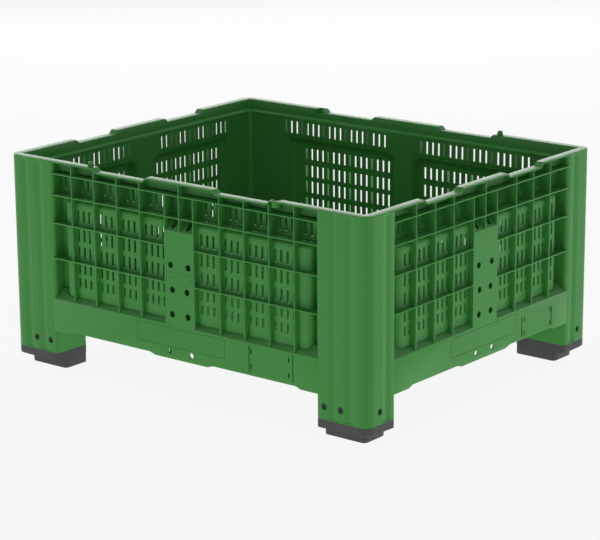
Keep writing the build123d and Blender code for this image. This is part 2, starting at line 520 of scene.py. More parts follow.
class Effects:
    """The shader groups that the finishes share, each built once."""

    def __init__(self) -> None:
        """Build slow drift of tone, fine mould grain and handling scuffs."""
        self.drift = noise_group("Moulding drift", scale=3.0, detail=3.0, output="Drift")
        self.grain = noise_group("Mould grain", scale=900.0, detail=2.0, output="Height")
        self.scuffs = scuff_group()


def place_group(tree: Tree, group: Tree, **values: float) -> Socket:
    """Place a shared group in a material with values of its own.

    Args:
        tree: Node tree of the material.
        group: The shared group.
        values: Values of the group's inputs.

    Returns:
        The group's output.
    """
    node = add_node(tree, "Group")
    node.node_tree = group
    return feed(tree, node, **values).outputs[0]


def mix_colours(tree: Tree, factor: Socket, *sources: object) -> Socket:
    """Mix two colours by a factor.

    Args:
        tree: Node tree of the material.
        factor: Socket that the mix follows.
        sources: The two colours, as values or sockets.

    Returns:
        The mixed colour.
    """
    node = add_node(tree, "Mix")
    node.data_type = "RGBA"
    give(tree, next(socket for socket in node.inputs if socket.type == "VALUE"), factor)
    for socket, source in zip([socket for socket in node.inputs if socket.type == "RGBA"], sources):
        give(tree, socket, source)
    return next(socket for socket in node.outputs if socket.type == "RGBA")


@dataclass(frozen=True)
class Finish:
    """One material of the box: its tone, how far the tone drifts, its scuffs, its gloss and its grain."""

    name: str
    slot: str
    colour: Triple
    shade: float
    scuff_colour: Triple
    scuff_cover: float
    roughness: Point
    grain_scale: float
    grain_depth: float
    specular: float
    metallic: float = 0.0
    drift_scale: float = 3.0
    scuff_scale: float = 45.0
    gloss_scale: float = 14.0
    grain_strength: float = 0.25

    def tone(self, share: float) -> tuple[float, ...]:
        """A darker or lighter tone of the colour."""
        return (*(value * share for value in self.colour), 1.0)

    def material(self, effects: Effects) -> bpy.types.Material:
        """Build the material.

        Args:
            effects: Shader groups shared by the finishes.

        Returns:
            The material, on Object coordinates.
        """
        material = bpy.data.materials.new(self.name)
        material.use_nodes = True
        tree = material.node_tree
        drift = place_group(tree, effects.drift, Scale=self.drift_scale)
        tone = mix_colours(tree, drift, self.tone(1 - self.shade), self.tone(1 + self.shade))
        scuffs = place_group(tree, effects.scuffs, Scale=self.scuff_scale, Cover=self.scuff_cover)
        worn = mix_colours(tree, scuffs, tone, (*self.scuff_colour, 1.0))
        smooth, rough = self.roughness
        gloss = add_node(tree, "MapRange", Value=place_group(tree, effects.drift, Scale=self.gloss_scale),
                         To_Min=smooth, To_Max=rough)
        grain = place_group(tree, effects.grain, Scale=self.grain_scale)
        bump = add_node(tree, "Bump", Height=grain, Strength=self.grain_strength, Distance=self.grain_depth)
        feed(tree, tree.nodes["Principled BSDF"], Base_Color=worn, Roughness=gloss.outputs["Result"],
             Normal=bump.outputs["Normal"], Specular_IOR_Level=self.specular, Metallic=self.metallic)
        return material


GREEN = Finish(name="green_moulded_plastic", slot="green_plastic", colour=(0.05, 0.234, 0.046),
               shade=0.10, scuff_colour=(0.11, 0.27, 0.10), scuff_cover=0.25, roughness=(0.32, 0.44),
               grain_scale=700.0, grain_depth=0.0003, specular=0.28)
DARK = Finish(name="dark_cap_plastic", slot="cap_plastic", colour=(0.057, 0.057, 0.058),
              shade=0.18, scuff_colour=(0.13, 0.13, 0.13), scuff_cover=0.45, roughness=(0.5, 0.68),
              grain_scale=520.0, grain_depth=0.001, specular=0.4)
STEEL = Finish(name="dark_screw_steel", slot="screw_steel", colour=(0.05, 0.05, 0.052),
               shade=0.15, scuff_colour=(0.3, 0.3, 0.3), scuff_cover=0.3, roughness=(0.3, 0.45),
               grain_scale=1500.0, grain_depth=0.0001, specular=0.5, metallic=0.6)


class Dresser:
    """Gives finished pieces their materials, smooth shading and places in the frame."""

    def __init__(self) -> None:
        """Build the materials."""
        effects = Effects()
        self.materials = {finish.name: finish.material(effects) for finish in (GREEN, DARK, STEEL)}

    def dress(self, piece: Piece, finish: Finish, nodes: Sequence[str] = (), angle: float = 32.0) -> None:
        """Finish a piece and hang it on the frame.

        Args:
            piece: Finished mesh.
            finish: What it is made of.
            nodes: Frame nodes that it stands for.
            angle: Edges flatter than this, in degrees, are shaded smooth.
        """
        piece.data.materials.clear()
        piece.data.materials.append(self.materials[finish.name])
        take(piece)
        bpy.ops.object.shade_smooth_by_angle(angle=math.radians(angle))
        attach(piece, BODY)
        if nodes:
            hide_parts(*nodes)
        log.info("%s: %d faces", piece.name, len(piece.data.polygons))


# Sizes of the box


@dataclass(frozen=True)
class BoxSizes:
    """Sizes and levels that several sub-assemblies share, in metres."""

    half_length: float
    half_width: float
    column_x: float
    column_y: float
    rim_top: float
    knob_top: float
    leg_end: float
    skirt_low: float
    skirt_bottom: float
    floor_top: float
    skirt_top: float = 0.2045
    low_rib: float = 0.3155
    middle_rib: float = 0.412
    vent_rib: float = 0.4885
    rim_rib: float = 0.5465
    skin: float = 0.004
    rib: float = 0.005
    panel_depth: float = 0.014
    vent_depth: float = 0.034
    rim_width: float = 0.026
    rim_thickness: float = 0.004
    lip_bottom: float = 0.552
    ledge_level: float = 0.546
    corner_radius: float = 0.03
    inside_radius: float = 0.012
    lip_radius: float = 0.004
    edge_round: float = 0.01

    @classmethod
    def from_frame(cls) -> "BoxSizes":
        """Read the outer sizes from the frame's nodes.

        Returns:
            The sizes.
        """
        post_low, post_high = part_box("corner_post_front_right")
        wall_low, wall_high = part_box("front_wall")
        floor_low, floor_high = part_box("floor_deck")
        return cls(half_length=post_high.x, half_width=-post_low.y, column_x=post_low.x,
                   column_y=-post_high.y, rim_top=post_high.z, knob_top=wall_high.z, leg_end=post_low.z,
                   skirt_low=wall_low.z, skirt_bottom=floor_low.z, floor_top=floor_high.z)

    @property
    def floor_bottom(self) -> float:
        """Underside of the floor's plate."""
        return self.floor_top - self.skin

    @property
    def wall_depth(self) -> float:
        """Depth of the upright skin's inner face behind the outer plane."""
        return self.vent_depth + self.skin

    @property
    def inside_skin(self) -> float:
        """Depth of the middle of the upright skin."""
        return self.vent_depth + self.skin / 2

    @property
    def inside_panel(self) -> float:
        """Depth of the middle of a bulged panel's skin."""
        return self.panel_depth + self.skin / 2

    @property
    def bulge(self) -> float:
        """How far a panel stands out from the upright skin."""
        return self.vent_depth - self.panel_depth


@dataclass(frozen=True)
class Dips:
    """The two shallow dips in one side of the rim, from the middle of that side."""

    start: float
    end: float
    run: float = 0.011
    depth: float = 0.010

    def stations(self) -> list[float]:
        """Places along one half of the side where the rim's level changes."""
        return [self.start, self.start + self.run, self.end - self.run, self.end]

    def drop(self, place: float) -> float:
        """How far the rim lies below its top at a place along the side."""
        into = min(abs(place) - self.start, self.end - abs(place))
        return self.depth * min(max(into / self.run, 0.0), 1.0)


# Sub-assemblies


@dataclass(frozen=True)
class CardHolder:
    """The card holder in one half of a skirt: two upright guides and two slots beside each."""

    guides: Point
    slots: Point
    height: float
    rises: Point
    guide_half: float
    low: float = 0.127
    slot_half: float = 0.0022
    slot_height: float = 0.014
    slot_reach: float = 0.01
    groove_depth: float = 0.0034
    pocket_edge: float = 0.0025
    pocket_depth: float = 0.012

    def slot_places(self) -> list[Point]:
        """Place and bottom of each slot."""
        return [(place, self.low + rise) for place in self.slots for rise in self.rises]

    def cutters(self) -> list[Piece]:
        """Model the guides' grooves and the slots, for cutting.

        Returns:
            One cutter for each.
        """
        wide, deep, half, reach = self.guide_half, self.groove_depth, self.slot_half, self.slot_reach
        top = self.low + self.height
        grooves = [block("groove", (x - wide, -deep, self.low), (x + wide, deep, top)) for x in self.guides]
        return grooves + [block("slot", (x - half, -reach, low), (x + half, reach, low + self.slot_height))
                          for x, low in self.slot_places()]

    def pockets(self, front: float) -> list[Piece]:
        """Model the blind pockets behind the slots.

        Args:
            front: Depth where the pockets start.

        Returns:
            One pocket for each slot.
        """
        edge, deep = self.pocket_edge, self.pocket_depth
        half = self.slot_half + edge
        pockets = []
        for place, low in self.slot_places():
            piece = block("pocket", (place - half, front, low - edge),
                          (place + half, front + deep, low + self.slot_height + edge))
            begin_edit(piece)
            pick(piece, lambda spot: spot.y < front + TINY)
            bpy.ops.mesh.inset(thickness=edge / 2)
            bpy.ops.transform.translate(value=(0, deep - edge, 0))
            end_edit()
            pockets.append(piece)
        return pockets


@dataclass(frozen=True)
class Wall:
    """One wall between two corner columns, drawn with its outer plane at Y = 0 and Y inwards."""

    sizes: BoxSizes
    name: str
    half: float
    post_half: float
    post_gap: float
    rib_count: int
    end_slots: int
    vent_slots: int
    small_plate: bool
    dips: Dips
    tab_half: float
    lip_width: float
    card: CardHolder
    rib_pitch: float = 0.08
    rib_taper: float = 0.7
    rib_round: float = 0.0005
    slot_pitch: float = 0.02
    slot_width: float = 0.0076
    slot_round: float = 0.0019
    panel_rows: tuple[Point, ...] = ((0.4225, 0.456), (0.3705, 0.405), (0.3225, 0.3575), (0.282, 0.3075),
                                     (0.245, 0.2705))
    vent_row: Point = (0.500, 0.536)
    panel_end_run: float = 0.02
    panel_end_gap: float = 0.025
    post_back_inset: float = 0.0125
    post_back_drop: float = 0.012
    post_slope: float = 0.034
    ledge_rise: float = 0.03
    shoulder_low: float = 0.468
    shoulder_high: float = 0.497
    tab_run: float = 0.02
    lip_run: float = 0.014
    face_round: float = 0.0012
    hole_pairs: tuple[Triple, ...] = ((0.036, 0.133, 0.0072), (0.0295, 0.3645, 0.0086),
                                      (0.0245, 0.299, 0.0086), (0.0265, 0.2336, 0.0086))
    pin_pair: Triple = (0.035, 0.330, 0.0018)
    plate: Rectangle = (-0.149, 0.149, 0.145, 0.197)
    upper_plate: Rectangle = (-0.044, 0.044, 0.316, 0.346)
    plate_line: float = 0.0012
    plate_depth: float = 0.0007
    long_hole_half: float = 0.007
    long_hole_round: float = 0.0066
    long_hole_span: Point = (0.0045, 0.0305)
    long_hole_reach: float = 0.02

    @property
    def panel_end(self) -> float:
        """Place where a panel's flat face ends."""
        return self.half - self.panel_end_gap - self.panel_end_run

    @property
    def reach(self) -> float:
        """Place where ribs and skirt end inside the rounded edge of the corner column."""
        return self.half + self.sizes.edge_round - HAIR

    @property
    def post_top(self) -> float:
        """Top of the centre post's flat face."""
        return self.sizes.vent_rib - self.post_slope

    def end_curve(self, steps: int = 6) -> list[Point]:
        """Places along a panel's rounded end with the share of the bulge that is left there."""
        angles = [math.pi / 2 * step / steps for step in range(steps + 1)]
        return [(self.panel_end + self.panel_end_run * math.sin(a), math.cos(a)) for a in angles]

    def section(self, steps: int = 8) -> list[Point]:
        """Depth and height of the skin where a panel bulges fully.

        Args:
            steps: Number of chords in the panel's shoulder.

        Returns:
            The places from the rim's ledge down to the floor.
        """
        sizes = self.sizes
        shoulder = []
        for step in range(steps + 1):
            share = step / steps
            depth = sizes.vent_depth - sizes.bulge * (1 - math.cos(math.pi * share)) / 2
            shoulder.append((depth, self.shoulder_high + (self.shoulder_low - self.shoulder_high) * share))
        return [(sizes.vent_depth, sizes.ledge_level)] + shoulder + [(sizes.panel_depth, sizes.floor_bottom)]

    def build_skin(self) -> Piece:
        """Model the bulged skin with all its slots.

        Returns:
            The slotted skin.
        """
        sizes = self.sizes
        start = self.post_half - HAIR
        piece = trace("skin", [(start, depth, level) for depth, level in self.section()], Closing.OPEN)
        place, share = start, 1.0
        for next_place, next_share in self.end_curve() + [(self.half + HAIR, 0.0)]:
            pull((next_place - place, 0, 0))
            self.flatten(next_share / share if share > TINY else 1.0)
            place, share = next_place, next_share
        pick(piece, lambda spot: abs(spot.x - start) < TINY)
        pull((-sizes.rib / 2, 0, 0))
        self.lower_shoulder(piece, start - sizes.rib / 2)
        pull((-self.post_back_inset, 0, 0))
        pull((-sizes.rib, 0, 0))
        self.flatten(0.0)
        pull((1.5 * sizes.rib + self.post_back_inset - start, 0, 0))
        end_edit()
        mirror_halves(piece)
        if sum(face.normal.y * face.area for face in piece.data.polygons) > 0:
            piece.data.flip_normals()
        modify(piece, "SOLIDIFY", thickness=sizes.skin, offset=-1.0, use_even_offset=True)
        cut(piece, self.slot_cutters())
        return piece

    def lower_shoulder(self, piece: Piece, place: float) -> None:
        """Lower the panel's shoulder behind the centre post's slope and leave that section selected.

        Args:
            piece: Skin in edit mode.
            place: Where the section stands along the wall.
        """
        low, high = self.shoulder_low - TINY, self.shoulder_high + TINY
        pick(piece, lambda spot: abs(spot.x - place) < TINY and low < spot.z < high)
        bpy.ops.transform.translate(value=(0, 0, -self.post_back_drop))
        pick(piece, lambda spot: abs(spot.x - place) < TINY)

    def flatten(self, share: float) -> None:
        """Scale what is selected towards the plane of the upright skin."""
        bpy.ops.transform.resize(value=(1.0, share, 1.0), center_override=(0.0, self.sizes.vent_depth, 0.0))

    def slot_cutters(self) -> list[Piece]:
        """Model the round-ended slots of every row, for cutting.

        Returns:
            One cutter for each row.
        """
        panel_slots = self.rib_count * round(self.rib_pitch / self.slot_pitch) + self.end_slots
        rows = [(row, panel_slots) for row in self.panel_rows] + [(self.vent_row, self.vent_slots)]
        first = self.post_half + self.post_gap + self.slot_pitch / 2
        half = self.slot_width / 2
        cutters = []
        for (low, high), count in rows:
            slots = block("slots", (first - half, 0, low), (first + half, self.sizes.wall_depth * 2, high))
            round_along(slots, 1, self.slot_round, 2)
            repeat(slots, count, (self.slot_pitch, 0, 0))
            mirror_halves(slots)
            cutters.append(slots)
        return cutters

    def rib_places(self) -> list[float]:
        """Places of the upright ribs in one half of the wall."""
        first = self.post_half + self.post_gap + self.rib_pitch
        return [first + self.rib_pitch * step for step in range(self.rib_count)]

    def lip_step(self, top: float) -> list[Point]:
        """Depth and height of a rib's back edge from its top down past the rim's lip.

        Args:
            top: Upper end of the rib.

        Returns:
            The corners of the edge.
        """
        sizes = self.sizes
        if top < sizes.lip_bottom:
            return [(sizes.inside_skin, top)]
        lip = sizes.rim_width - sizes.skin / 2
        return [(lip, top), (lip, sizes.lip_bottom), (sizes.inside_skin, sizes.ledge_level - sizes.skin / 4)]

    def upright(self, place: float, foot: float, top: float, back: Sequence[Point]) -> Piece:
        """Model an upright rib with a thinner front edge.

        Args:
            place: Place of its middle along the wall.
            foot: Its lower end at the front.
            top: Its upper end.
            back: Depth and height of the lower corners of its back edge.

        Returns:
            The rib.
        """
        side = [(RIB_FRONT, foot), (RIB_FRONT, top), *self.lip_step(top), *back]
        left = place - self.sizes.rib / 2
        piece = prism("upright", [(left, depth, level) for depth, level in side], (self.sizes.rib, 0, 0))
        thin_front(piece, (self.rib_taper, 1.0, 1.0), (place, 0.0, 0.0))
        return piece

    def plan(self) -> list[Point]:
        """Outline from above of a level rib that follows the panels behind it.

        Returns:
            The corners of the outline.
        """
        sizes = self.sizes
        back = [(place, sizes.inside_skin - sizes.bulge * share) for place, share in self.end_curve()]
        return mirrored(back + [(self.reach, sizes.inside_skin), (self.reach, HAIR)])

    def level_rib(self, level: float, bulged: bool) -> Piece:
        """Model a level rib from column to column.

        Args:
            level: Height of its middle.
            bulged: Whether bulged panels lie behind it.

        Returns:
            The rib.
        """
        sizes = self.sizes
        outline = self.plan() if bulged else mirrored([(self.reach, sizes.inside_skin), (self.reach, HAIR)])
        low = level - sizes.rib / 2
        piece = prism("level_rib", [(x, y, low) for x, y in outline], (0, 0, sizes.rib))
        thin_front(piece, (1.0, 1.0, self.rib_taper), (0.0, 0.0, level))
        return piece

    def rim_under(self, place: float) -> float:
        """Level inside the rim's flange above a rib."""
        drop = max(self.dips.drop(place + sign * self.sizes.rib / 2) for sign in (-1, 1))
        return self.sizes.rim_top - drop - self.sizes.rim_thickness / 2

    def build_ribs(self) -> Piece:
        """Model the grid of crossing ribs.

        Returns:
            All the ribs of the wall.
        """
        sizes = self.sizes
        foot = sizes.skirt_top - sizes.skin / 2
        back = [(sizes.inside_skin, self.shoulder_high - sizes.skin / 2),
                (sizes.inside_panel, self.shoulder_low + sizes.skin / 2), (sizes.inside_panel, foot)]
        tops = [(place, self.rim_under(place)) for place in self.rib_places()]
        tops.append((self.post_half - sizes.rib / 2, sizes.rim_rib))
        ribs = [self.upright(sign * place, foot, top, back) for place, top in tops for sign in (-1, 1)]
        middle_back = [(sizes.inside_skin, sizes.vent_rib)]
        ribs.append(self.upright(0.0, self.post_top, self.rim_under(0.0), middle_back))
        ribs += [self.level_rib(level, True) for level in (sizes.low_rib, sizes.middle_rib)]
        ribs += [self.level_rib(level, False) for level in (sizes.vent_rib, sizes.rim_rib)]
        grid = join("ribs", ribs)
        soften(grid, self.rib_round)
        return grid

    def build_face(self) -> Piece:
        """Model the skirt and the centre post's flat face, with their holes and thin grooves.

        Returns:
            The face plate.
        """
        sizes = self.sizes
        low, bottom = sizes.skirt_low, sizes.skirt_bottom
        lip_start = self.half - self.lip_width
        right = [(self.tab_half, low), (self.tab_half + self.tab_run, bottom),
                 (lip_start - self.lip_run, bottom), (lip_start, low), (self.reach, low),
                 (self.reach, sizes.skirt_top), (self.post_half, sizes.skirt_top),
                 (self.post_half, self.post_top)]
        piece = prism("face", [(x, 0, z) for x, z in mirrored(right)], (0, sizes.skin, 0))
        round_edges(piece, self.face_round, 2, lambda spot: spot.y < TINY and spot.z < self.post_top - TINY)
        cut(piece, self.hole_cutters() + self.plate_cutters() + self.card.cutters())
        return piece

    def hole_cutters(self) -> list[Piece]:
        """Model the round holes of the skirt's tab and of the centre post, for cutting.

        Returns:
            One cutter for each hole.
        """
        pairs = [*self.hole_pairs, self.pin_pair] if self.small_plate else self.hole_pairs
        return [cylinder("hole", 24, radius, self.sizes.skin * 4, (sign * spread, 0, level))
                for spread, level, radius in pairs for sign in (-1, 1)]

    def plate_cutters(self) -> list[Piece]:
        """Model the thin outlines of the bare plates, for cutting.

        Returns:
            Four cutters for each plate, which don't touch.
        """
        line, deep = self.plate_line, self.plate_depth
        cutters = []
        for left, right, low, high in [self.plate, self.upper_plate] if self.small_plate else [self.plate]:
            foot, head = low + line + TINY, high - line - TINY
            for x0, x1, z0, z1 in ((left, right, low, low + line), (left, right, high - line, high),
                                   (left, left + line, foot, head), (right - line, right, foot, head)):
                cutters.append(block("groove", (x0, -deep, z0), (x1, deep, z1)))
        return cutters

    def build_ledge(self) -> Piece:
        """Model the sloped ledge between the skirt and the panels.

        Returns:
            The ledge.
        """
        sizes = self.sizes
        outline = [(x, y, sizes.skirt_top - sizes.skin) for x, y in self.plan()]
        piece = prism("ledge", outline, (0, 0, sizes.skin))
        begin_edit(piece)
        slope = math.atan2(self.ledge_rise, sizes.vent_depth)
        bpy.ops.transform.rotate(value=-slope, orient_axis="X", center_override=(0.0, 0.0, sizes.skirt_top))
        end_edit()
        return piece

    def build_post_slope(self) -> Piece:
        """Model the sloped top of the centre post with its two long holes.

        Returns:
            The slope.
        """
        sizes = self.sizes
        side = [(0.0, self.post_top), (sizes.vent_depth, sizes.vent_rib),
                (sizes.inside_skin, sizes.vent_rib - sizes.skin), (sizes.skin, self.post_top - sizes.skin)]
        left = -self.post_half + HAIR
        piece = prism("slope", [(left, depth, level) for depth, level in side], (-2 * left, 0, 0))
        half, (near, far) = self.long_hole_half, self.long_hole_span
        low, high = self.post_top - self.long_hole_reach, sizes.vent_rib + self.long_hole_reach
        holes = []
        for middle in (-self.post_half / 2, self.post_half / 2):
            hole = block("long_hole", (middle - half, near, low), (middle + half, far, high))
            round_along(hole, 2, self.long_hole_round, 4)
            holes.append(hole)
        cut(piece, holes)
        return piece

    def build(self) -> Piece:
        """Model the whole wall.

        Returns:
            The wall as one moulding, drawn with its outer plane at Y = 0.
        """
        parts = [self.build_skin(), self.build_ribs(), self.build_face(), self.build_ledge(),
                 self.build_post_slope(), *self.card.pockets(self.sizes.skin - HAIR)]
        return join(self.name, parts)


@dataclass(frozen=True)
class Rim:
    """The rim that runs round the whole box, with its lip, its dips, two knobs and two pockets."""

    sizes: BoxSizes
    long_dips: Dips
    short_dips: Dips
    corner_steps: int = 10
    edge_soft: float = 0.0008
    stack_line: float = 0.017
    knob_x: float = -0.316
    knob_radius: float = 0.0085
    knob_top_radius: float = 0.0065
    knob_wall: float = 0.002
    knob_hollow: float = 0.7
    knob_soft: float = 0.0006
    pocket_x: float = 0.309
    pocket_radius: float = 0.011
    pocket_depth: float = 0.015
    pocket_wall: float = 0.003
    pocket_steps: int = 12

    @property
    def stack_y(self) -> float:
        """Line of the knob and the pocket on the front rim."""
        return self.stack_line - self.sizes.half_width

    def rings(self) -> list[Triple]:
        """Loops round the box that the rim's section goes through.

        Returns:
            Depth, level and corner radius of each loop.
        """
        sizes = self.sizes
        top, under = sizes.rim_top, sizes.rim_top - sizes.rim_thickness
        lip, deep, back = sizes.rim_width - sizes.skin, sizes.wall_depth, sizes.vent_depth
        foot = sizes.ledge_level - sizes.skin / 2
        outer, inner, sharp = sizes.corner_radius, sizes.inside_radius, sizes.lip_radius
        return [(0.0, under, outer), (0.0, top, outer), (sizes.rim_width, top, sharp),
                (sizes.rim_width, sizes.lip_bottom, sharp), (deep, sizes.ledge_level, inner),
                (deep, foot, inner), (back, foot, sharp), (back, sizes.ledge_level, sharp),
                (lip, sizes.lip_bottom, sharp), (lip, under, sharp)]

    def quarter(self, depth: float, level: float, radius: float) -> Piece:
        """Trace the quarter of a loop from the middle of the front side to the middle of the right side.

        Args:
            depth: How far inside the outer planes the loop runs.
            level: Its height.
            radius: Radius of its corners.

        Returns:
            The open line, with places at the ends of the dips.
        """
        half_x, half_y = self.sizes.half_length - depth, self.sizes.half_width - depth
        plan = [(0.0, -half_y)] + [(stop, -half_y) for stop in self.long_dips.stations()]
        plan += arc((half_x - radius, radius - half_y), radius, 270.0, 360.0, self.corner_steps)
        plan += [(half_x, -stop) for stop in reversed(self.short_dips.stations())] + [(half_x, 0.0)]
        return trace("ring", [(x, y, level) for x, y in plan], Closing.OPEN)

    def above_ring(self, spot: Vector, depth: float, radius: float) -> bool:
        """Whether a place lies on a loop, seen from above.

        Args:
            spot: The place.
            depth: How far inside the outer planes the loop runs.
            radius: Radius of its corners.

        Returns:
            True over, on or under the loop.
        """
        over_x = abs(spot.x) - self.sizes.half_length + depth + radius
        over_y = abs(spot.y) - self.sizes.half_width + depth + radius
        away = math.hypot(max(over_x, 0.0), max(over_y, 0.0)) + min(max(over_x, over_y), 0.0) - radius
        return abs(away) < HAIR

    def on_ring(self, spot: Vector, depth: float, level: float, radius: float) -> bool:
        """Whether a place lies on a loop at its level."""
        return abs(spot.z - level) < HAIR and self.above_ring(spot, depth, radius)

    def build(self) -> Piece:
        """Model a quarter of the rim by bridging the lines of its section, and mirror it.

        Returns:
            The rim.
        """
        rings = self.rings()
        piece = join("rim", [self.quarter(*ring) for ring in rings])
        begin_edit(piece)
        for one, other in zip(rings, rings[1:] + rings[:1]):
            pick(piece, lambda spot: self.on_ring(spot, *one) or self.on_ring(spot, *other))
            bpy.ops.mesh.bridge_edge_loops()
        end_edit()
        mirror_halves(piece, across_too=True)
        begin_edit(piece)
        self.press_dips(piece)
        face_outwards()
        for depth, _, radius in rings[1:3]:
            round_edges(piece, self.edge_soft, 2,
                        lambda spot: self.is_top(spot) and self.above_ring(spot, depth, radius))
        self.add_pockets(piece)
        return piece

    def drop_at(self, spot: Vector) -> float:
        """How far the rim lies below its top at a place on it."""
        on_long_side = self.sizes.half_width - abs(spot.y) < self.sizes.rim_width + TINY
        return self.long_dips.drop(spot.x) if on_long_side else self.short_dips.drop(spot.y)

    def is_top(self, spot: Vector) -> bool:
        """Whether a place lies on the rim's top face."""
        return abs(spot.z - self.sizes.rim_top + self.drop_at(spot)) < TINY

    def press_dips(self, piece: Piece) -> None:
        """Push the flange down where the rim dips.

        Args:
            piece: Rim in edit mode.
        """
        level = self.sizes.rim_top - self.sizes.rim_thickness - TINY
        depth = self.long_dips.depth
        pick(piece, lambda spot: spot.z > level and self.drop_at(spot) > depth - TINY)
        bpy.ops.transform.translate(value=(0, 0, -depth))

    def add_pockets(self, piece: Piece) -> None:
        """Cut the stacking pockets into the long sides, open to the inside.

        Args:
            piece: Rim to cut.
        """
        y, far = self.stack_y, self.stack_y + self.sizes.rim_width
        opening = cylinder("opening", 32, self.pocket_radius, 2 * self.pocket_depth,
                           (self.pocket_x, y, self.sizes.rim_top), upright=True)
        begin_edit(opening)
        pick(opening, lambda spot: spot.y > y + TINY)
        bpy.ops.transform.resize(value=(1.0, 0.0, 1.0), center_override=(0.0, far, 0.0))
        end_edit()
        cut(piece, [opening, copy_of(opening, "opening_back", HALF_TURN)])

    def cup_solid(self, name: str, radius: float, back: float, top: float, depth: float) -> Piece:
        """Model a solid with a half-round front that hangs from a level.

        Args:
            name: Name of the piece.
            radius: Radius of its front.
            back: Line of its flat back.
            top: Level of its top.
            depth: Its height.

        Returns:
            The solid.
        """
        front = arc((self.pocket_x, self.stack_y), radius, 180.0, 360.0, self.pocket_steps)
        outline = [(self.pocket_x - radius, back), *front, (self.pocket_x + radius, back)]
        return prism(name, [(x, y, top) for x, y in outline], (0, 0, -depth))

    def build_cups(self) -> list[Piece]:
        """Model the rounded cups that hang under the flange round the pockets.

        Returns:
            The front and the back cup.
        """
        sizes = self.sizes
        back = sizes.rim_width - sizes.skin - sizes.half_width
        sink = sizes.rim_thickness / 2
        cup = self.cup_solid("stacking_cup_front", self.pocket_radius + self.pocket_wall, back,
                             sizes.rim_top - sink, self.pocket_depth + self.pocket_wall - sink)
        cut(cup, [self.cup_solid("hollow", self.pocket_radius, back + sizes.rim_width, sizes.rim_top,
                                 self.pocket_depth)])
        return [cup, copy_of(cup, "stacking_cup_back", HALF_TURN)]

    def build_knobs(self) -> list[Piece]:
        """Model the hollow stacking knobs on the long sides.

        Returns:
            The front and the back knob.
        """
        sizes = self.sizes
        height = sizes.knob_top - sizes.rim_top
        place = (self.knob_x, self.stack_y, sizes.rim_top + height / 2)
        clear_selection()
        bpy.ops.mesh.primitive_cone_add(vertices=32, radius1=self.knob_radius, radius2=self.knob_top_radius,
                                        depth=height, location=place)
        knob = name_new("stacking_knob_front")
        begin_edit(knob)
        pick(knob, lambda spot: spot.z > sizes.knob_top - TINY)
        bpy.ops.mesh.inset(thickness=self.knob_wall)
        pull((0, 0, -height * self.knob_hollow))
        end_edit()
        soften(knob, self.knob_soft)
        return [knob, copy_of(knob, "stacking_knob_back", HALF_TURN)]


